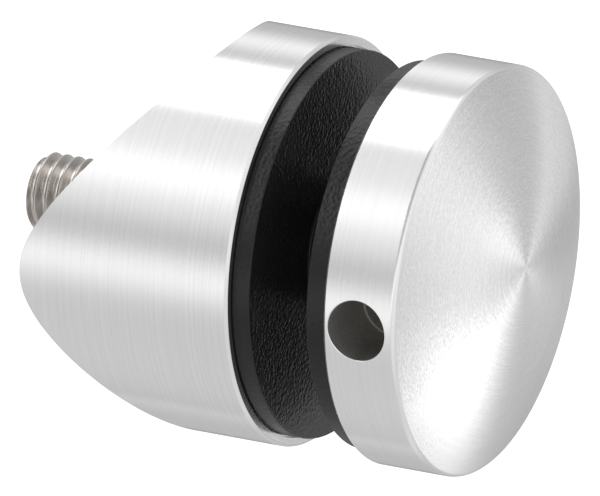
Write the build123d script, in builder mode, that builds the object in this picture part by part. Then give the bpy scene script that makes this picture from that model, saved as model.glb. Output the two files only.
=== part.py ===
from build123d import *
import math
import os

os.makedirs("parts", exist_ok=True)

# ---------------------------------------------------------------------------
# Glass point fixing: two stainless discs of 40 mm clamp a glass pane between
# two rubber gaskets.  The rear disc is a saddle for a 42.4 mm tube, and an M8
# stud runs through the whole fixing and out of the saddle into the tube.
#
# Frame: origin at the valley of the saddle on the stud's axis.
#   +Y  along the stud, into the tube
#   -Y  towards the cap
#   +Z  up, along the tube
#   -X  the side that the cap's spanner hole faces
# All lengths in millimetres.
# ---------------------------------------------------------------------------

# saddle and base disc
tube_r = 21.2            # radius of the round tube, 42.4 mm across
disc_r = 20.0            # radius of the base disc and of the cap
base_neck = 8.18         # thickness of the base on its axis
base_front_bevel = 0.28  # bevel of the base's front edge
base_horn_break = 0.12   # small bevel where the saddle meets the disc's side

# gaskets
gasket_r = 18.9          # outer radius of both gaskets
gasket_t = 2.34          # thickness of both gaskets
gasket_edge = 0.12       # rounded edge of a gasket
seat_depth = 0.45        # the rear gasket is sunk this deep in the base's face
seat_clear = 0.35        # radial gap round the rear gasket in its seat
glass_gap = 6.04         # space between the gaskets for the pane

# sleeve in the glass hole
foot_r = 6.8             # radius of the sleeve's foot, inside the rear gasket
foot_proud = 0.3         # how far the foot stands out of the rear gasket
sleeve_r = 6.0           # radius of the sleeve in the glass hole
sleeve_short = 0.24      # gap between the sleeve's end and the front gasket
sleeve_bore_r = 4.1      # bore of the sleeve
gasket_foot_clear = 0.05 # radial gap between the foot and the rear gasket
front_gasket_bore_r = 4.3

# cap
cap_side = 7.52          # height of the cap's straight side
cap_dome = 4.23          # height of the domed face above the side
cap_rear_bevel = 0.25    # bevel of the cap's rear edge
cap_rim_round = 0.6      # rounded edge between the side and the dome
pin_hole_r = 3.0         # radius of the blind hole for a pin spanner
pin_hole_back = 3.53     # from the cap's rear face to the hole's axis
pin_hole_floor = 12.35   # from the fixing's axis to the hole's flat floor
pin_hole_break = 0.12    # broken edge round the hole's mouth

# M8 stud
stud_r = 4.0             # major radius of the M8 thread
thread_pitch_r = 3.594   # radius of the pitch cylinder, used where the stud is screwed into the base
thread_pitch = 1.25      # M8 coarse pitch
stud_end = 22.05         # free end of the stud, from the saddle's valley
stud_length = 50.0       # whole length of the stud
stud_chamfer = 0.57      # chamfer of both ends
cap_thread_r = 4.05      # bore of the cap over the stud, 0.05 mm running clearance
cap_thread_floor = 0.35  # gap between the stud's front end and the bore's floor
countersink_r = 5.0      # radius of the base bore's countersink, at the valley

# positions along Y
y_base = -base_neck                            # front face of the base
y_seat = y_base + seat_depth                   # floor of the rear gasket's seat
y_rear_gasket = y_seat - gasket_t              # front face of the rear gasket
y_front_gasket = y_rear_gasket - glass_gap     # rear face of the front gasket
y_cap = y_front_gasket - gasket_t              # rear face of the cap
y_rim = y_cap - cap_side                       # end of the cap's straight side
y_apex = y_rim - cap_dome                      # top of the dome
y_stud_front = stud_end - stud_length          # hidden front end of the stud
y_pin_hole = y_cap - pin_hole_back             # axis of the spanner hole
y_horn = tube_r - math.sqrt(tube_r**2 - disc_r**2)  # tips of the saddle's horns

# Profiles are drawn in the XY plane, with X as radius, and turned about Y.
stud_axis = Axis((0, 0, 0), (0, 1, 0))

# --- base body --------------------------------------------------------------
with BuildPart() as base_body:
    with BuildSketch(Plane.XY):
        with BuildLine():
            Polyline(
                (0, y_seat),
                (gasket_r + seat_clear, y_seat),
                (gasket_r + seat_clear, y_base),
                (disc_r - base_front_bevel, y_base),
                (disc_r, y_base + base_front_bevel),
                (disc_r, y_horn + 3.0),
                (0, y_horn + 3.0),
                close=True,
            )
        make_face()
    revolve(axis=stud_axis)
    # the saddle: the tube stands upright behind the disc
    with BuildSketch(Plane.XY.offset(-disc_r - 5)):
        with Locations((0, tube_r)):
            Circle(tube_r)
    extrude(amount=2 * disc_r + 10, mode=Mode.SUBTRACT)
    # the cut leaves one long curved edge round the back, broken lightly
    back_edges = (
        base_body.edges()
        .filter_by(GeomType.BSPLINE)
        .filter_by(lambda e: e.length > 10)
    )
    if len(back_edges) == 0:
        back_edges = base_body.edges().sort_by(SortBy.LENGTH)[-1:]
    chamfer(back_edges, length=base_horn_break)
    # threaded bore for the stud, at the pitch cylinder, with its countersink
    with BuildSketch(Plane.XY):
        with BuildLine():
            Polyline(
                (0, y_seat - 1),
                (thread_pitch_r + 0.6, y_seat - 1),
                (thread_pitch_r + 0.6, y_seat),
                (thread_pitch_r, y_seat + 0.6),
                (thread_pitch_r, -(countersink_r - thread_pitch_r)),
                (countersink_r + 3.0, 3.0),
                (0, 3.0),
                close=True,
            )
        make_face()
    revolve(axis=stud_axis, mode=Mode.SUBTRACT)
base_body.part.label = "base_body"
export_step(base_body.part, "parts/base_body.step")

# --- rear gasket ------------------------------------------------------------
with BuildPart() as rear_gasket:
    with BuildSketch(Plane.XY):
        with BuildLine():
            Polyline(
                (foot_r + gasket_foot_clear, y_seat),
                (gasket_r, y_seat),
                (gasket_r, y_rear_gasket),
                (foot_r + gasket_foot_clear, y_rear_gasket),
                close=True,
            )
        make_face()
    revolve(axis=stud_axis)
    front_rim = (
        rear_gasket.edges()
        .filter_by(GeomType.CIRCLE)
        .group_by(Axis.Y)[0]
        .filter_by(lambda e: e.radius > gasket_r - 1)
    )
    fillet(front_rim, radius=gasket_edge)
rear_gasket.part.label = "rear_gasket"
export_step(rear_gasket.part, "parts/rear_gasket.step")

# --- front gasket -----------------------------------------------------------
with BuildPart() as front_gasket:
    with BuildSketch(Plane.XY):
        with BuildLine():
            Polyline(
                (front_gasket_bore_r, y_front_gasket),
                (gasket_r, y_front_gasket),
                (gasket_r, y_cap),
                (front_gasket_bore_r, y_cap),
                close=True,
            )
        make_face()
    revolve(axis=stud_axis)
    rear_rim = (
        front_gasket.edges()
        .filter_by(GeomType.CIRCLE)
        .group_by(Axis.Y)[-1]
        .filter_by(lambda e: e.radius > gasket_r - 1)
    )
    fillet(rear_rim, radius=gasket_edge)
front_gasket.part.label = "front_gasket"
export_step(front_gasket.part, "parts/front_gasket.step")

# --- sleeve -----------------------------------------------------------------
y_foot = y_rear_gasket - foot_proud
y_sleeve_end = y_front_gasket + sleeve_short
with BuildPart() as glass_sleeve:
    with BuildSketch(Plane.XY):
        with BuildLine():
            Polyline(
                (sleeve_bore_r, y_seat),
                (foot_r, y_seat),
                (foot_r, y_foot + 0.06),
                (foot_r - 0.06, y_foot),
                (sleeve_r, y_foot),
                (sleeve_r, y_sleeve_end + 0.3),
                (sleeve_r - 0.3, y_sleeve_end),
                (sleeve_bore_r, y_sleeve_end),
                close=True,
            )
        make_face()
    revolve(axis=stud_axis)
glass_sleeve.part.label = "glass_sleeve"
export_step(glass_sleeve.part, "parts/glass_sleeve.step")

# --- cap --------------------------------------------------------------------
dome_edge_r = disc_r                            # the dome springs from the side
dome_r = (dome_edge_r**2 + cap_dome**2) / (2 * cap_dome)
dome_mid = dome_edge_r / 2
y_dome_mid = y_apex + dome_r - math.sqrt(dome_r**2 - dome_mid**2)
y_cap_bore = y_stud_front - cap_thread_floor
with BuildPart() as cap:
    with BuildSketch(Plane.XY):
        with BuildLine():
            Line((0, y_cap), (disc_r - cap_rear_bevel, y_cap))
            Line((disc_r - cap_rear_bevel, y_cap), (disc_r, y_cap - cap_rear_bevel))
            Line((disc_r, y_cap - cap_rear_bevel), (disc_r, y_rim))
            ThreePointArc((disc_r, y_rim), (dome_mid, y_dome_mid), (0, y_apex))
            Line((0, y_apex), (0, y_cap))
        make_face()
    revolve(axis=stud_axis)
    rim_edge = (
        cap.edges()
        .filter_by(GeomType.CIRCLE)
        .filter_by(lambda e: abs(e.radius - disc_r) < 0.01)
        .sort_by(Axis.Y)[0]
    )
    fillet(rim_edge, radius=cap_rim_round)
    # blind threaded bore for the stud, with a lead-in
    with BuildSketch(Plane.XY):
        with BuildLine():
            Polyline(
                (0, y_cap + 1),
                (cap_thread_r + 0.5, y_cap + 1),
                (cap_thread_r + 0.5, y_cap),
                (cap_thread_r, y_cap - 0.5),
                (cap_thread_r, y_cap_bore),
                (0, y_cap_bore),
                close=True,
            )
        make_face()
    revolve(axis=stud_axis, mode=Mode.SUBTRACT)
    # blind spanner hole in the side, square to the axis, with a flat floor
    with BuildSketch(Plane.YZ.offset(-pin_hole_floor)):
        with Locations((y_pin_hole, 0)):
            Circle(pin_hole_r)
    extrude(amount=-(disc_r - pin_hole_floor + 2), mode=Mode.SUBTRACT)
    mouth = (
        cap.edges()
        .filter_by(GeomType.BSPLINE)
        .filter_by(lambda e: e.bounding_box().max.X < -19)
    )
    chamfer(mouth, length=pin_hole_break)
cap.part.label = "cap"
export_step(cap.part, "parts/cap.step")

# --- stud -------------------------------------------------------------------
# One M8 x 50 stud.  Where it is screwed into the base it has the pitch
# cylinder's radius; elsewhere it has the thread's major radius.
y_stud_neck = y_seat + 0.1
with BuildPart() as threaded_stud:
    with BuildSketch(Plane.XY):
        with BuildLine():
            Polyline(
                (0, y_stud_front),
                (stud_r - stud_chamfer, y_stud_front),
                (stud_r, y_stud_front + stud_chamfer),
                (stud_r, y_stud_neck),
                (thread_pitch_r, y_stud_neck),
                (thread_pitch_r, 0),
                (stud_r, 0),
                (stud_r, stud_end - stud_chamfer),
                (stud_r - stud_chamfer, stud_end),
                (0, stud_end),
                close=True,
            )
        make_face()
    revolve(axis=stud_axis)
threaded_stud.part.label = "threaded_stud"
export_step(threaded_stud.part, "parts/threaded_stud.step")

print("saddle horns at Y", round(y_horn, 3))
print("base front", round(y_base, 3), "rear gasket face", round(y_rear_gasket, 3))
print("front gasket face", round(y_front_gasket, 3), "cap rear", round(y_cap, 3))
print("rim", round(y_rim, 3), "apex", round(y_apex, 3), "dome radius", round(dome_r, 3))
print("stud", round(y_stud_front, 3), "to", stud_end, "cap bore floor", round(y_cap_bore, 3))
print("pin hole axis at Y", round(y_pin_hole, 3))
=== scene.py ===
import math

import bpy
from mathutils import Matrix, Vector


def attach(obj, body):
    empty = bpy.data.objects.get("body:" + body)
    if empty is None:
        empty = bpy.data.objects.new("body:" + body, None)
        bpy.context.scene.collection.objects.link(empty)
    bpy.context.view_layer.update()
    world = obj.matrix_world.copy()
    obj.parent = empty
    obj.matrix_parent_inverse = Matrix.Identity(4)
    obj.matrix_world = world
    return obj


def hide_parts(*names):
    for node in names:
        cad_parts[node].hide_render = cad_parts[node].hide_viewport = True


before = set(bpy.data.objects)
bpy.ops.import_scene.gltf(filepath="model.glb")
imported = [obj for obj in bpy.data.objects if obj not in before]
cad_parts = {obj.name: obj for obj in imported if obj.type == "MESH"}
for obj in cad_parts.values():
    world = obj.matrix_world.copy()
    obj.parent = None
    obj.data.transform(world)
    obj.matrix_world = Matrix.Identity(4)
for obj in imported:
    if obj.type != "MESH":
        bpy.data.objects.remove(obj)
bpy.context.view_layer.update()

MM = 0.001
PI = math.pi

# ---------------------------------------------------------------------------
# camera: the photograph's viewing angle, with a long lens
# ---------------------------------------------------------------------------
LENS = 1392.17
AZ, EL, ROLL = math.radians(-62.9233), math.radians(20.8808), math.radians(0.1982)
CX, CZ, DIST = -1.9820, -0.6289, 2226.17     # mm, in a frame whose origin is 8.08 mm in front
R = Vector((math.cos(AZ), math.sin(AZ), 0))
B = Vector((math.sin(AZ) * math.cos(EL), -math.cos(AZ) * math.cos(EL), math.sin(EL)))
U = B.cross(R)
aim = R * CX + U * CZ + Vector((0, -8.08, 0))
cam_data = bpy.data.cameras.new("camera")
cam_data.lens = LENS
cam_data.sensor_width = 36.0
cam_data.clip_start, cam_data.clip_end = 0.1, 20.0
cam = bpy.data.objects.new("camera", cam_data)
bpy.context.scene.collection.objects.link(cam)
cam.location = (aim + B * DIST) * MM
cam.rotation_mode = "QUATERNION"
right, top = R * math.cos(ROLL) - U * math.sin(ROLL), R * math.sin(ROLL) + U * math.cos(ROLL)
cam.rotation_quaternion = Matrix((right, top, B)).transposed().to_quaternion()
bpy.context.scene.camera = cam

# ---------------------------------------------------------------------------
# sizes, in mm, as in the CAD
# ---------------------------------------------------------------------------
TUBE = 21.2
DISC = 20.0
Y_BASE = -8.18
Y_SEAT = -7.73
SEAT_R = 19.1
BASE_BEVEL = 0.28
GASKET_R = 18.9
GASKET_T = 2.34
Y_REAR = Y_SEAT - GASKET_T          # front face of the rear gasket
Y_FRONT = Y_REAR - 6.04             # rear face of the front gasket
Y_CAP = Y_FRONT - GASKET_T          # rear face of the cap
CAP_BEVEL = 0.25
DOME_R = 49.396
DOME_Y = 19.196                     # centre of the dome's sphere
RIM_ROUND = 0.6
HOLE_Y = Y_CAP - 3.53
HOLE_R = 3.0
HOLE_FLOOR = 12.35
RINGS_AT = (-0.15, 1.12)            # the dome's turning lines run round this point, x and z
PITCH = 1.25
STUD_END = 22.05
STUD_FRONT = STUD_END - 50.0


# ---------------------------------------------------------------------------
# meshes are put together from grids of points with their own normals
# ---------------------------------------------------------------------------
class Skin:
    def __init__(self):
        self.verts, self.faces, self.normals, self.index = [], [], [], {}

    def vert(self, p):
        key = tuple(round(c * 31415.9) for c in p)
        if key not in self.index:
            self.index[key] = len(self.verts)
            self.verts.append(p)
        return self.index[key]

    def grid(self, rows):
        """rows[i][j] is (point, normal); faces turn to their normals."""
        rows = [[(self.vert(p), n) for p, n in row] for row in rows]
        for a, b in zip(rows, rows[1:]):
            for j in range(len(a) - 1):
                face = []
                for v, n in (a[j], a[j + 1], b[j + 1], b[j]):
                    if v not in [f[0] for f in face]:
                        face.append((v, n))
                if len(face) < 3:
                    continue
                area = Vector((0, 0, 0))
                pts = [Vector(self.verts[v]) for v, _ in face]
                for k in range(1, len(pts) - 1):
                    area += (pts[k] - pts[0]).cross(pts[k + 1] - pts[0])
                if area.length < 1e-12:
                    continue
                mean = sum((Vector(n) for _, n in face), Vector((0, 0, 0)))
                if area.dot(mean) < 0:
                    face.reverse()
                self.faces.append([v for v, _ in face])
                self.normals.extend(n for _, n in face)

    def lathe(self, run, steps, start=0, stop=None):
        """run holds (radius, y, normal's radius part, normal's y part)."""
        stop = steps if stop is None else stop
        rows = []
        for i in range(start, stop + 1):
            a = 2 * PI * (i % steps) / steps
            c, s = math.cos(a), math.sin(a)
            rows.append([((r * c, y, r * s), (nr * c, ny, nr * s)) for r, y, nr, ny in run])
        self.grid(rows)

    def build(self, name, material, body, node, own_normals=True):
        mesh = bpy.data.meshes.new(name)
        mesh.from_pydata([tuple(c * MM for c in v) for v in self.verts], [], self.faces)
        mesh.polygons.foreach_set("use_smooth", [True] * len(mesh.polygons))
        mesh.update()
        if own_normals:
            mesh.normals_split_custom_set([tuple(Vector(n).normalized()) for n in self.normals])
        else:
            mesh.set_sharp_from_angle(angle=math.radians(38))
        mesh.materials.append(material)
        o = bpy.data.objects.new(name, mesh)
        bpy.context.scene.collection.objects.link(o)
        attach(o, body)
        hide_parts(node)
        return o


# ---------------------------------------------------------------------------
# small helpers for node graphs
# ---------------------------------------------------------------------------
class Graph:
    def __init__(self, tree):
        self.tree = tree

    def put(self, socket, value):
        if isinstance(value, bpy.types.NodeSocket):
            self.tree.links.new(value, socket)
        elif value is not None:
            socket.default_value = value

    def node(self, kind, **props):
        n = self.tree.nodes.new(kind)
        for k, v in props.items():
            setattr(n, k, v)
        return n

    def math(self, op, a, b=None, c=None, clamp=False):
        n = self.node("ShaderNodeMath", operation=op, use_clamp=clamp)
        for s, v in zip(n.inputs, (a, b, c)):
            self.put(s, v)
        return n.outputs[0]

    def vec(self, op, a, b=None, scale=None):
        n = self.node("ShaderNodeVectorMath", operation=op)
        self.put(n.inputs[0], a)
        if b is not None:
            self.put(n.inputs[1], b)
        if scale is not None:
            self.put(n.inputs["Scale"], scale)
        return n.outputs["Value"] if op in ("DOT_PRODUCT", "LENGTH") else n.outputs["Vector"]

    def xyz(self, v):
        n = self.node("ShaderNodeSeparateXYZ")
        self.put(n.inputs[0], v)
        return n.outputs[0], n.outputs[1], n.outputs[2]

    def combine(self, x, y, z):
        n = self.node("ShaderNodeCombineXYZ")
        for s, v in zip(n.inputs, (x, y, z)):
            self.put(s, v)
        return n.outputs[0]

    def noise(self, vector, scale, detail=2.0, rough=0.5, dist=0.0):
        n = self.node("ShaderNodeTexNoise", noise_dimensions="3D")
        self.put(n.inputs["Vector"], vector)
        n.inputs["Scale"].default_value = scale
        n.inputs["Detail"].default_value = detail
        n.inputs["Roughness"].default_value = rough
        n.inputs["Distortion"].default_value = dist
        return n.outputs["Fac"]

    def remap(self, v, a, b, c, d, kind="LINEAR"):
        n = self.node("ShaderNodeMapRange", interpolation_type=kind)
        for s, x in zip(n.inputs, (v, a, b, c, d)):
            self.put(s, x)
        return n.outputs[0]

    def mix(self, f, a, b):
        n = self.node("ShaderNodeMix", data_type="FLOAT")
        self.put(n.inputs[0], f)
        self.put(n.inputs[2], a)
        self.put(n.inputs[3], b)
        return n.outputs[0]

    def mixv(self, f, a, b):
        n = self.node("ShaderNodeMix", data_type="VECTOR")
        self.put(n.inputs[0], f)
        self.put(n.inputs[4], a)
        self.put(n.inputs[5], b)
        return n.outputs[1]

    def grey(self, v, tint=(1, 1, 1)):
        n = self.node("ShaderNodeCombineColor")
        for s, t in zip(n.inputs, tint):
            self.put(s, v if t == 1 else self.math("MULTIPLY", v, t))
        return n.outputs[0]

    def bump(self, height, strength, distance, normal=None):
        n = self.node("ShaderNodeBump")
        n.inputs["Strength"].default_value = strength
        n.inputs["Distance"].default_value = distance
        self.put(n.inputs["Height"], height)
        self.put(n.inputs["Normal"], normal)
        return n.outputs[0]


# ---------------------------------------------------------------------------
# studio light: a soft surround with large diffused lights, all white.
# A light is (longitude, elevation, turn, half width, half height, level, edge):
# longitude 0 is -Y and 90 is +X, turn is about the light's own centre.
# ---------------------------------------------------------------------------
scene = bpy.context.scene
scene.view_settings.view_transform = "Standard"
SURROUND = (0.573, 0.348, -0.173, 1.494)      # below, above, where they meet, how softly
LIGHTS = [
    (135.9, 68.7, -48.6, 0.626, 0.328, 0.958, 3.32),
    (125.2, 26.9, 71.0, 0.204, 0.337, 0.695, 0.95),
    (228.2, 37.6, -63.0, 0.192, 0.089, 0.841, 1.47),
    (261.6, 0.9, 33.1, 0.966, 0.156, 0.601, 1.27),
    (221.2, 43.5, -50.0, 0.598, 0.127, 1.423, 2.86),
    (-20.6, 28.1, 37.2, 1.162, 0.609, 0.364, 2.33),
    (38.2, -14.0, 120.9, 0.745, 0.438, 0.796, 0.67),
    (51.5, -26.3, 27.6, 0.357, 0.040, 0.423, 0.74),
    (45.2, -31.5, -22.1, 0.274, 0.071, 1.302, 0.97),
    (52.3, -15.1, -20.0, 0.119, 0.041, 0.778, 2.89),
    (137.4, -22.4, -85.3, 0.122, 0.120, 0.239, 1.34),
    (42.9, -33.3, -45.2, 1.210, 0.457, -0.335, 2.64),
    (76.7, -19.9, -4.0, 0.306, 0.042, -0.231, 1.59),
    (10.9, 10.5, -20.5, 0.336, 0.277, 0.170, 0.93),
    (52.7, 8.4, -64.1, 0.627, 0.281, -0.281, 1.68),
    (106.9, -21.8, 44.4, 0.341, 0.157, -0.198, 1.21),
    (120.0, -21.5, 0.0, 0.160, 0.160, -0.800, 1.00),
    (93.0, -25.5, 0.0, 0.230, 0.100, -0.080, 1.00),
    (150.3, 60.5, 32.9, 0.296, 0.140, 1.000, 4.00),
]
GAIN = 1 / 0.88                                # the metal's reflectance
world = bpy.data.worlds.new("studio")
scene.world = world
world.use_nodes = True
g = Graph(world.node_tree)
ray = g.node("ShaderNodeTexCoord").outputs["Generated"]
_, _, up = g.xyz(ray)
lo, hi, at, soft = SURROUND
level = g.remap(up, at - soft / 2, at + soft / 2, lo, hi, "SMOOTHSTEP")
for lon, lat, turn, wide, high, amount, edge in LIGHTS:
    lon, lat, turn = map(math.radians, (lon, lat, turn))
    c = Vector((math.cos(lat) * math.sin(lon), -math.cos(lat) * math.cos(lon), math.sin(lat)))
    e = Vector((math.cos(lon), math.sin(lon), 0))
    n = c.cross(e)
    n = n if n.z > 0 else -n
    a = (math.cos(turn) * e + math.sin(turn) * n) / wide
    b = (-math.sin(turn) * e + math.cos(turn) * n) / high
    u, v = g.vec("DOT_PRODUCT", ray, a), g.vec("DOT_PRODUCT", ray, b)
    q = g.math("MULTIPLY_ADD", u, u, g.math("MULTIPLY", v, v))
    f = g.math("EXPONENT", g.math("MULTIPLY", g.math("POWER", q, edge), -1.0))
    f = g.math("MULTIPLY", f, g.math("GREATER_THAN", g.vec("DOT_PRODUCT", ray, c), 0.0))
    level = g.math("MULTIPLY_ADD", f, amount, level)
level = g.math("MULTIPLY", g.math("MAXIMUM", level, 0.05), GAIN)
shows = g.node("ShaderNodeLightPath").outputs["Is Camera Ray"]
background = world.node_tree.nodes["Background"]
g.put(background.inputs[0], g.grey(g.mix(shows, level, 1.2)))
background.inputs[1].default_value = 1.0


# ---------------------------------------------------------------------------
# materials
# ---------------------------------------------------------------------------
def principled(name, rough, metallic=0.0):
    m = bpy.data.materials.new(name)
    m.use_nodes = True
    g = Graph(m.node_tree)
    p = m.node_tree.nodes["Principled BSDF"]
    p.inputs["Metallic"].default_value = metallic
    p.inputs["Roughness"].default_value = rough
    return m, g, p


def to_world(g, v):
    n = g.node("ShaderNodeVectorTransform", vector_type="VECTOR", convert_from="OBJECT", convert_to="WORLD")
    g.put(n.inputs[0], v)
    return g.vec("NORMALIZE", n.outputs[0])


def polar(g, place, centre=(0, 0)):
    """Radius and direction round the Y axis, or round a line beside it, in object space."""
    x, _, z = g.xyz(place)
    flat = g.combine(g.math("SUBTRACT", x, centre[0] * MM), 0.0, g.math("SUBTRACT", z, centre[1] * MM))
    out = g.vec("NORMALIZE", flat)
    ox, _, oz = g.xyz(out)
    along = g.combine(g.math("MULTIPLY", oz, -1.0), 0.0, ox)
    return g.vec("LENGTH", flat), out, along


def steel(name, cap):
    """Turned and brushed stainless steel: fine lines run round the axis on every face."""
    m, g, p = principled(name, 0.2213, 1.0)
    p.inputs["Anisotropic"].default_value = 0.926
    p.inputs["Anisotropic Rotation"].default_value = 0.25
    place = g.node("ShaderNodeTexCoord").outputs["Object"]
    x, y, z = g.xyz(place)
    radius, out, along = polar(g, place)
    on_side = g.math("GREATER_THAN", radius, 19.7 * MM)
    face_r, face_out, face_along = (polar(g, place, RINGS_AT) if cap else (radius, out, along))
    line = g.mix(on_side, face_r, y)                     # across the lines
    turn = g.mixv(on_side, face_out, out)                # round the axis
    lay = g.mixv(on_side, face_along, along)             # along the lines
    tx, _, tz = g.xyz(turn)

    def lines(width, reach, detail, rough, shift):
        on_face, on_rim = width
        across = g.math("MULTIPLY_ADD", line, g.mix(on_side, 1 / (on_face * MM), 1 / (on_rim * MM)), shift)
        n = g.noise(g.combine(across, g.math("MULTIPLY", tx, reach), g.math("MULTIPLY", tz, reach)),
                    1.0, detail, rough)
        return g.math("SUBTRACT", n, 0.5)

    long_lines = lines((0.19, 0.29), 0.12, 3.0, 0.68, 3.7)
    short_lines = lines((0.17, 0.2), 4.0, 2.0, 0.6, 41.3)
    # the grit leaves short scratches, 0.4 mm along the lines
    across = g.math("MULTIPLY_ADD", line, 1 / (0.15 * MM), 87.1)
    grain = g.noise(g.combine(across, g.math("MULTIPLY", x, 2600.0), g.math("MULTIPLY", z, 2600.0)), 1.0, 2.0, 0.55)
    grain = g.math("SUBTRACT", grain, 0.5)
    # the lines wobble: the normal leans a little along them and across them
    near = g.remap(face_r, 0.003, 0.010, 1.0, 0.0, "SMOOTHSTEP")
    gritty = g.math("MULTIPLY", g.remap(z, -0.004, 0.006, 0.135, 0.05, "SMOOTHSTEP"), g.remap(face_r, 0.001, 0.007, 0.3, 1.0))
    tilt = g.math("MULTIPLY", grain, g.mix(on_side, gritty, 0.03))
    rings = g.math("MULTIPLY", long_lines, g.mix(on_side, g.math("MULTIPLY_ADD", near, 0.03, 0.10), 0.05))
    normal = g.node("ShaderNodeNewGeometry").outputs["Normal"]
    lay_w, out_w = to_world(g, lay), to_world(g, turn)
    normal = g.vec("ADD", normal, g.vec("SCALE", lay_w, scale=tilt))
    normal = g.vec("NORMALIZE", g.vec("ADD", normal, g.vec("SCALE", out_w, scale=rings)))
    # brightness of single lines
    tone = g.math("MULTIPLY_ADD", long_lines, g.mix(on_side, g.math("MULTIPLY_ADD", near, 0.29, 0.14), 0.19), 1.0)
    tone = g.math("MULTIPLY_ADD", short_lines, g.mix(on_side, 0.15, 0.05), tone)
    tone = g.math("MULTIPLY_ADD", grain, g.mix(on_side, 0.36, 0.05), tone)
    tone = g.math("MULTIPLY", tone, 0.88)
    rough = g.math("MULTIPLY_ADD", short_lines, 0.03, 0.2213)
    if cap:
        # the blind spanner hole was drilled and never brushed: matt and grainy, with painted light on its wall and a
        # painted highlight round its floor
        dy = g.math("SUBTRACT", y, HOLE_Y * MM)
        from_axis = g.vec("LENGTH", g.combine(0.0, dy, z))
        inside = g.math("LESS_THAN", from_axis, (HOLE_R + 0.03) * MM)
        inside = g.math("MULTIPLY", inside, g.math("LESS_THAN", x, -10 * MM))
        inside = g.math("MULTIPLY", inside, g.math("LESS_THAN", radius, 19.93 * MM))
        speck = g.noise(place, 3200.0, 2.0, 0.6)
        hole_tone_and_painted_light = g.math("MULTIPLY_ADD", g.math("SUBTRACT", speck, 0.5), 0.20, 0.27)
        # painted light: the wall's colour is made lighter towards the floor
        painted_light_ramp = g.math("POWER", g.remap(x, -19.8 * MM, -12.4 * MM, 0.0, 1.0), 2.2)
        wall = g.math("MULTIPLY_ADD", painted_light_ramp, 1.5, 0.58)
        # the painted light multiplies the hole's colour on the wall only
        hole_tone_and_painted_light = g.math("MULTIPLY", hole_tone_and_painted_light, g.mix(g.math("GREATER_THAN", from_axis, 2.9 * MM), 1.0, wall))
        # painted highlight: the rounded corner round the floor is painted as a bright ring
        painted_ring_highlight = g.math("MULTIPLY", g.math("GREATER_THAN", from_axis, 2.87 * MM), g.math("GREATER_THAN", x, -12.51 * MM))
        hole_tone_and_painted_light = g.mix(painted_ring_highlight, hole_tone_and_painted_light, 0.7)
        tone = g.mix(inside, tone, hole_tone_and_painted_light)
        rough = g.mix(inside, rough, 0.7)
        g.put(p.inputs["Metallic"], g.math("MULTIPLY_ADD", inside, -0.85, 1.0))
        normal_in = g.node("ShaderNodeNewGeometry").outputs["Normal"]
        normal = g.vec("NORMALIZE", g.mixv(inside, normal, normal_in))
        colour = g.mixv(inside, g.grey(tone), g.grey(tone, (1, 0.97, 0.9)))
    else:
        # the narrow land round the rear gasket was faced in one cut: smoother; its colour is darkened as painted shade
        land_smooth_and_painted_shade = g.math("MULTIPLY", g.math("LESS_THAN", y, (Y_BASE + 0.02) * MM), g.math("LESS_THAN", radius, 19.74 * MM))
        # painted shade: the land's colour is darkened to 0.8 of the steel's
        tone = g.mix(land_smooth_and_painted_shade, tone, g.math("MULTIPLY", tone, 0.8))
        rough = g.mix(land_smooth_and_painted_shade, rough, 0.13)
        colour = g.grey(tone)
    g.put(p.inputs["Base Color"], colour)
    g.put(p.inputs["Roughness"], rough)
    g.put(p.inputs["Normal"], normal)
    g.put(p.inputs["Tangent"], lay_w)
    return m


def rubber(name):
    """Black rubber with a fine leather-like grain."""
    m, g, p = principled(name, 0.25)
    p.inputs["Specular IOR Level"].default_value = 0.31
    place = g.node("ShaderNodeTexCoord").outputs["Object"]
    wrinkle = g.noise(place, 2500.0, 3.0, 0.55)
    soft = g.noise(place, 420.0, 1.0, 0.5)
    cells = g.node("ShaderNodeTexVoronoi", feature="SMOOTH_F1")
    g.put(cells.inputs["Vector"], place)
    cells.inputs["Scale"].default_value = 2350.0
    cells.inputs["Smoothness"].default_value = 0.5
    height = g.math("MULTIPLY_ADD", cells.outputs["Distance"], 0.75, g.math("MULTIPLY", wrinkle, 0.8))
    # a gasket's rim is smoother than its faces
    rx, _, rz = g.xyz(place)
    on_rim = g.math("GREATER_THAN", g.vec("LENGTH", g.combine(rx, 0.0, rz)), (GASKET_R - 0.05) * MM)
    height = g.math("MULTIPLY", height, g.mix(on_rim, 1.0, g.remap(rz, 0.008, 0.015, 0.42, 0.85)))
    g.put(p.inputs["Normal"], g.bump(height, 1.0, 0.000052))
    # the skin is duller at a flat look and in soft patches
    flat = g.node("ShaderNodeLayerWeight")
    flat.inputs["Blend"].default_value = 0.5
    rough = g.math("MULTIPLY_ADD", g.math("POWER", flat.outputs["Facing"], 7.0), 0.5, 0.25)
    g.put(p.inputs["Roughness"], g.math("MULTIPLY_ADD", g.math("SUBTRACT", soft, 0.5), 0.12, rough))
    tone = g.math("MULTIPLY_ADD", g.math("SUBTRACT", wrinkle, 0.5), 0.008, 0.0125)
    g.put(p.inputs["Base Color"], g.grey(tone))
    return m


def moulded(name):
    """Black moulded plastic, faintly mottled."""
    m, g, p = principled(name, 0.3)
    p.inputs["Specular IOR Level"].default_value = 0.5
    place = g.node("ShaderNodeTexCoord").outputs["Object"]
    fine = g.noise(place, 2600.0, 3.0, 0.6)
    broad = g.noise(place, 350.0, 2.0, 0.5)
    g.put(p.inputs["Base Color"], g.grey(g.math("MULTIPLY_ADD", g.math("SUBTRACT", broad, 0.5), 0.01, 0.02)))
    g.put(p.inputs["Roughness"], g.math("MULTIPLY_ADD", g.math("SUBTRACT", fine, 0.5), 0.2, 0.3))
    g.put(p.inputs["Normal"], g.bump(fine, 0.5, 0.00002))
    return m


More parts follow.
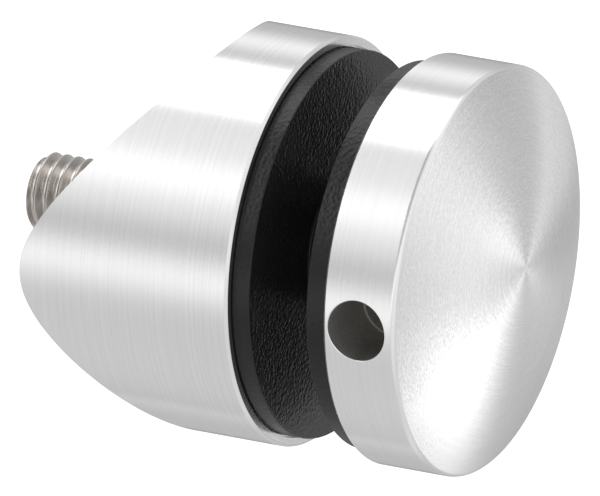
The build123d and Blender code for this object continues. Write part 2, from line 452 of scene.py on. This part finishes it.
def rolled(name):
    """A rolled thread: smooth, slightly warm grey metal, a little uneven."""
    m, g, p = principled(name, 0.3, 1.0)
    place = g.node("ShaderNodeTexCoord").outputs["Object"]
    n = g.noise(place, 900.0, 4.0, 0.6)
    tone = g.math("MULTIPLY_ADD", g.math("SUBTRACT", n, 0.5), 0.07, 0.56)
    g.put(p.inputs["Base Color"], g.grey(tone, (1, 0.95, 0.90)))
    g.put(p.inputs["Roughness"], g.math("MULTIPLY_ADD", g.math("SUBTRACT", n, 0.5), 0.12, 0.25))
    g.put(p.inputs["Normal"], g.bump(n, 0.4, 0.00001))
    return m


base_steel = steel("base_steel", False)
cap_steel = steel("cap_steel", True)
gasket_rubber = rubber("gasket_rubber")
sleeve_plastic = moulded("sleeve_plastic")
stud_metal = rolled("stud_metal")
looks = {
    "base_body": base_steel, "cap": cap_steel, "rear_gasket": gasket_rubber,
    "front_gasket": gasket_rubber, "glass_sleeve": sleeve_plastic, "threaded_stud": stud_metal,
}
for n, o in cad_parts.items():
    for s in o.material_slots:
        s.material = looks[n]

SEG = 480


def saddle_y(x):
    return TUBE - math.sqrt(TUBE * TUBE - x * x)


# ---------------------------------------------------------------------------
# cap
# ---------------------------------------------------------------------------
def make_cap():
    skin = Skin()
    # rounding between the side and the dome
    f = RIM_ROUND
    fy = DOME_Y - math.sqrt((DOME_R - f) ** 2 - (DISC - f) ** 2)
    d = Vector((DISC - f, fy - DOME_Y)).normalized()
    dome_edge = math.atan2(d.x, -d.y)                 # angle from the apex, at the sphere's centre
    rounding = []
    for k in range(9):
        a = (dome_edge - PI / 2) * (1 - k / 8)        # from the dome to the side
        rounding.append((DISC - f + f * math.cos(a), fy + f * math.sin(a), math.cos(a), math.sin(a)))
    dome = []
    for k in range(65):
        a = dome_edge * k / 64
        dome.append((DOME_R * math.sin(a), DOME_Y - DOME_R * math.cos(a), math.sin(a), -math.cos(a)))
    skin.lathe(dome, SEG)
    skin.lathe(rounding, SEG)
    # rear edge, rear face and bore
    e = CAP_BEVEL
    skin.lathe([(DISC - e, Y_CAP, 1, 1), (DISC, Y_CAP - e, 1, 1)], SEG)
    bore = [(DISC - e, Y_CAP, 0), (4.55, Y_CAP, 0), (4.05, Y_CAP - 0.5, 0), (4.05, STUD_FRONT - 0.35, 0), (0, STUD_FRONT - 0.35, 0)]
    for a, b in zip(bore, bore[1:]):
        t = Vector((b[0] - a[0], b[1] - a[1])).normalized()
        n = (t.y, -t.x)
        skin.lathe([(a[0], a[1], *n), (b[0], b[1], *n)], SEG)
    # straight side, with a window for the hole
    top, bottom = Y_CAP - e, fy
    rows_n = 16
    levels = [bottom + (top - bottom) * k / rows_n for k in range(rows_n + 1)]
    half = 19
    mid = SEG // 2
    skin.lathe([(DISC, v, 1, 0) for v in levels], SEG, mid + half, mid + SEG - half)
    loop = []
    for j in range(rows_n):
        loop.append((mid - half, levels[j]))
    for i in range(-half, half):
        loop.append((mid + i, levels[-1]))
    for j in range(rows_n, 0, -1):
        loop.append((mid + half, levels[j]))
    for i in range(half, -half, -1):
        loop.append((mid + i, levels[0]))
    # the lip of the hole is lightly rounded
    lip = 0.12
    ring = []
    for i, v in loop + loop[:1]:
        a = 2 * PI * i / SEG
        px, pz = DISC * math.cos(a), DISC * math.sin(a)
        ang = math.atan2(pz, v - HOLE_Y)
        cy, cz = math.cos(ang), math.sin(ang)
        row = []
        for k in range(9):
            w = (k / 8) ** 1.3
            if k == 8:
                row.append(((px, v, pz), (math.cos(a), 0, math.sin(a))))
                continue
            zz = (HOLE_R + lip) * cz * (1 - w) + pz * w
            yy = HOLE_Y + (HOLE_R + lip) * cy * (1 - w) + (v - HOLE_Y) * w
            xx = -math.sqrt(DISC ** 2 - zz * zz)
            row.append(((xx, yy, zz), (xx / DISC, 0, zz / DISC)))
        ring.append(row)
    skin.grid(ring)
    lips, walls, floors = [], [], []
    for i, v in loop + loop[:1]:
        a = 2 * PI * i / SEG
        ang = math.atan2(DISC * math.sin(a), v - HOLE_Y)
        cy, cz = math.cos(ang), math.sin(ang)
        row = []
        for k in range(6):
            t = PI / 2 * k / 5
            rho = HOLE_R + lip * (1 - math.sin(t))
            zz, yy = rho * cz, HOLE_Y + rho * cy
            sx = -math.sqrt(DISC ** 2 - zz * zz)
            n = Vector((sx / DISC, 0, zz / DISC)) * math.cos(t) + Vector((0, -cy, -cz)) * math.sin(t)
            row.append(((sx + lip * (1 - math.cos(t)), yy, zz), tuple(n.normalized())))
        lips.append(row)
        start = row[-1][0][0]
        inward = (0, -cy, -cz)
        f2 = 0.14
        wall = [((start + (-HOLE_FLOOR - f2 - start) * k / 6, HOLE_Y + HOLE_R * cy, HOLE_R * cz), inward) for k in range(7)]
        for k in range(1, 5):
            t = PI / 2 * k / 4
            rho = HOLE_R - f2 * (1 - math.cos(t))
            wall.append(((-HOLE_FLOOR - f2 * (1 - math.sin(t)), HOLE_Y + rho * cy, rho * cz),
                         (-math.sin(t), -cy * math.cos(t), -cz * math.cos(t))))
        walls.append(wall)
        floors.append([((-HOLE_FLOOR, HOLE_Y + (HOLE_R - f2) * cy * k / 4, (HOLE_R - f2) * cz * k / 4), (-1, 0, 0)) for k in range(4, -1, -1)])
    skin.grid(lips)
    skin.grid(walls)
    skin.grid(floors)
    return skin.build("domed_cap", cap_steel, "cap", "cap")


# ---------------------------------------------------------------------------
# base
# ---------------------------------------------------------------------------
def make_base():
    skin = Skin()
    e = BASE_BEVEL
    skin.lathe([(DISC - e, Y_BASE, 1, -1), (DISC, Y_BASE + e, 1, -1)], SEG)
    inner = [(DISC - e, Y_BASE), (SEAT_R, Y_BASE), (SEAT_R, Y_SEAT), (4.194, Y_SEAT), (3.594, Y_SEAT + 0.6), (3.594, -1.406)]
    for a, b in zip(inner, inner[1:]):
        t = Vector((b[0] - a[0], b[1] - a[1])).normalized()
        n = (-t.y, t.x)
        skin.lathe([(a[0], a[1], *n), (b[0], b[1], *n)], SEG)
    # side, up to the saddle's edge, which is lightly rounded
    brk = 0.16
    side, horn, back, sink = [], [], [], []
    for i in range(SEG + 1):
        a = 2 * PI * (i % SEG) / SEG
        c, s = math.cos(a), math.sin(a)
        n = Vector((c, 0, s))
        ys = saddle_y(DISC * c)
        low, high = Y_BASE + e, ys - brk
        side.append([((DISC * c, low + (high - low) * k / 8, DISC * s), tuple(n)) for k in range(9)])
        # the saddle's surface along this direction
        def on(rho):
            return Vector((rho * c, saddle_y(rho * c), rho * s))
        slope = DISC * c * c / math.sqrt(TUBE ** 2 - (DISC * c) ** 2)
        back_off = DISC - brk / math.sqrt(1 + slope * slope)
        p0, p1, p2 = Vector((DISC * c, high, DISC * s)), Vector((DISC * c, ys, DISC * s)), on(back_off)
        def saddle_normal(rho):
            return Vector((-rho * c, TUBE - saddle_y(rho * c), 0)) / TUBE
        n2 = saddle_normal(back_off)
        row = []
        for k in range(6):
            t = k / 5
            p = p0 * (1 - t) ** 2 + p1 * 2 * t * (1 - t) + p2 * t * t
            row.append((tuple(p), tuple((n * (1 - t) + n2 * t).normalized())))
        horn.append(row)
        r0 = 5.0
        for _ in range(30):
            r0 = 5.0 + saddle_y(r0 * c)
        back.append([(tuple(on(back_off + (r0 - back_off) * k / 40)), tuple(saddle_normal(back_off + (r0 - back_off) * k / 40))) for k in range(41)])
        sink.append([((r * c, r - 5.0, r * s), (-c, 1, -s)) for r in [r0 + (3.594 - r0) * k / 6 for k in range(7)]])
    skin.grid(side)
    skin.grid(horn)
    skin.grid(back)
    skin.grid(sink)
    return skin.build("saddle_base", base_steel, "base", "base_body")


# ---------------------------------------------------------------------------
# gaskets and sleeve
# ---------------------------------------------------------------------------
def turned(name, points, material, body, node, steps=SEG, splits=4):
    """A turned ring from its section, anticlockwise, with rounded corners."""
    skin = Skin()
    n = len(points)
    legs = []
    for i in range(n):
        p, q = points[i], points[(i + 1) % n]
        legs.append(Vector((q[0] - p[0], q[1] - p[1])))
    for i in range(n):
        p, q = points[i], points[(i + 1) % n]
        d = legs[i].normalized()
        before, after = legs[i - 1].normalized(), legs[(i + 1) % n].normalized()
        cut0 = p[2] * math.tan(before.angle(d) / 2) if p[2] else 0.0
        cut1 = q[2] * math.tan(d.angle(after) / 2) if q[2] else 0.0
        a = Vector(p[:2]) + d * cut0
        b = Vector(q[:2]) - d * cut1
        nrm = (d.y, -d.x)
        skin.lathe([((a + (b - a) * k / splits).x, (a + (b - a) * k / splits).y, *nrm) for k in range(splits + 1)], steps)
        if q[2]:
            bend = 1 if d.x * after.y - d.y * after.x > 0 else -1
            centre = b - Vector(nrm) * q[2] * bend
            a0 = math.atan2(nrm[1] * bend, nrm[0] * bend)
            after_n = Vector((after.y, -after.x)) * bend
            a1 = math.atan2(after_n.y, after_n.x)
            while a1 - a0 > PI:
                a1 -= 2 * PI
            while a1 - a0 < -PI:
                a1 += 2 * PI
            run = []
            for k in range(5):
                t = a0 + (a1 - a0) * k / 4
                run.append((centre.x + q[2] * math.cos(t), centre.y + q[2] * math.sin(t), bend * math.cos(t), bend * math.sin(t)))
            skin.lathe(run, steps)
    return skin.build(name, material, body, node)


def make_thread():
    """The whole stud: an M8 thread at both ends, and the pitch radius inside the base."""
    flat_r, root_r = 4.0, 4.0 - 0.6134 * PITCH
    fine = 500

    def trapezoid(u):
        u = abs((u + 0.5) % 1.0 - 0.5) * PITCH
        crest, root = PITCH / 16, PITCH / 2 - PITCH / 8
        if u < crest:
            return flat_r
        if u > root:
            return root_r
        return flat_r + (root_r - flat_r) * (u - crest) / (root - crest)

    table = [trapezoid(k / fine) for k in range(fine)]
    for width in (0.10, 0.07):
        w = int(width / PITCH * fine / 2)
        table = [sum(table[(k + j) % fine] for j in range(-w, w + 1)) / (2 * w + 1) for k in range(fine)]
    top = max(table)
    table = [t + flat_r - top for t in table]

    def profile(u):
        u = (u % 1.0) * fine
        k = int(u)
        return table[k % fine] + (table[(k + 1) % fine] - table[k % fine]) * (u - k)

    steps, per = 80, 24
    phase = 1.215 + 67 / 360 * PITCH             # a crest's y where the angle is zero
    skin = Skin()

    def radius(y, turn):
        r = profile((y - phase + turn * PITCH) / PITCH)
        limit = min(3.43 + (STUD_END - y), 3.43 + (y - STUD_FRONT))
        if -7.75 < y < 0.15:
            limit = min(limit, 3.57)
        return min(r, limit)

    def zone(y0, y1, close_low, close_high):
        count = int((y1 - y0) / PITCH * per) + 2 * per + 4
        grid = []
        for i in range(steps + 1):
            turn = i / steps
            a = 2 * PI * (i % steps) / steps
            row = []
            for k in range(count):
                y = y0 - PITCH * 0.02 + (k / per - turn) * PITCH
                y = min(max(y, y0), y1)
                r = radius(y, turn % 1.0)
                row.append(((r * math.cos(a), y, r * math.sin(a)), (math.cos(a), 0, math.sin(a))))
            grid.append(row)
        skin.grid(grid)

    for y0, y1 in ((STUD_FRONT, -7.6), (0.0, STUD_END)):
        zone(y0, y1, True, True)
    for y, sign in ((STUD_FRONT, -1), (STUD_END, 1)):
        rows = []
        for i in range(steps + 1):
            a = 2 * PI * (i % steps) / steps
            r = radius(y, (i % steps) / steps)
            rows.append([((r * w * math.cos(a), y, r * w * math.sin(a)), (0, sign, 0)) for w in (1.0, 0.66, 0.33, 0.0)])
        skin.grid(rows)
    neck = []
    for i in range(steps + 1):
        a = 2 * PI * (i % steps) / steps
        t = (i % steps) / steps
        neck.append([((radius(y, t) * math.cos(a), y, radius(y, t) * math.sin(a)), (math.cos(a), 0, math.sin(a))) for y in [-7.6 + 7.6 * k / 72 for k in range(73)]])
    skin.grid(neck)
    return skin.build("thread_stud", stud_metal, "base", "threaded_stud", own_normals=False)


make_cap()
make_base()
turned("rear_rubber", [(6.85, Y_SEAT, 0), (6.85, Y_REAR, 0.1), (GASKET_R, Y_REAR, 0.14), (GASKET_R, Y_SEAT, 0.1)][::1],
       gasket_rubber, "base", "rear_gasket")
turned("front_rubber", [(4.3, Y_FRONT, 0.1), (4.3, Y_CAP, 0.1), (GASKET_R, Y_CAP, 0.1), (GASKET_R, Y_FRONT, 0.14)],
       gasket_rubber, "gasket", "front_gasket")
turned("sleeve", [(4.1, Y_SEAT, 0), (4.1, Y_FRONT + 0.24, 0), (6.0, Y_FRONT + 0.24, 0.3), (6.0, Y_REAR - 0.3, 0.08), (6.8, Y_REAR - 0.3, 0.14), (6.8, Y_SEAT, 0)],
       sleeve_plastic, "base", "glass_sleeve", 240)
make_thread()

# ---------------------------------------------------------------------------
# floor
# ---------------------------------------------------------------------------
mesh = bpy.data.meshes.new("floor")
mesh.from_pydata([(-8, -8, -0.12), (8, -8, -0.12), (8, 8, -0.12), (-8, 8, -0.12)], [], [(0, 1, 2, 3)])
floor = bpy.data.objects.new("floor", mesh)
scene.collection.objects.link(floor)
m = bpy.data.materials.new("pale_floor")
m.use_nodes = True
g = Graph(m.node_tree)
m.node_tree.nodes.remove(m.node_tree.nodes["Principled BSDF"])
glow = g.node("ShaderNodeEmission")
glow.inputs[0].default_value = (1, 1, 1, 1)
glow.inputs[1].default_value = 1.2
clear = g.node("ShaderNodeBsdfTransparent")
mixer = g.node("ShaderNodeMixShader")
g.put(mixer.inputs[0], g.node("ShaderNodeNewGeometry").outputs["Backfacing"])
g.put(mixer.inputs[1], glow.outputs[0])
g.put(mixer.inputs[2], clear.outputs[0])
g.put(m.node_tree.nodes["Material Output"].inputs[0], mixer.outputs[0])
mesh.materials.append(m)
floor.visible_diffuse = floor.visible_glossy = floor.visible_transmission = floor.visible_shadow = False
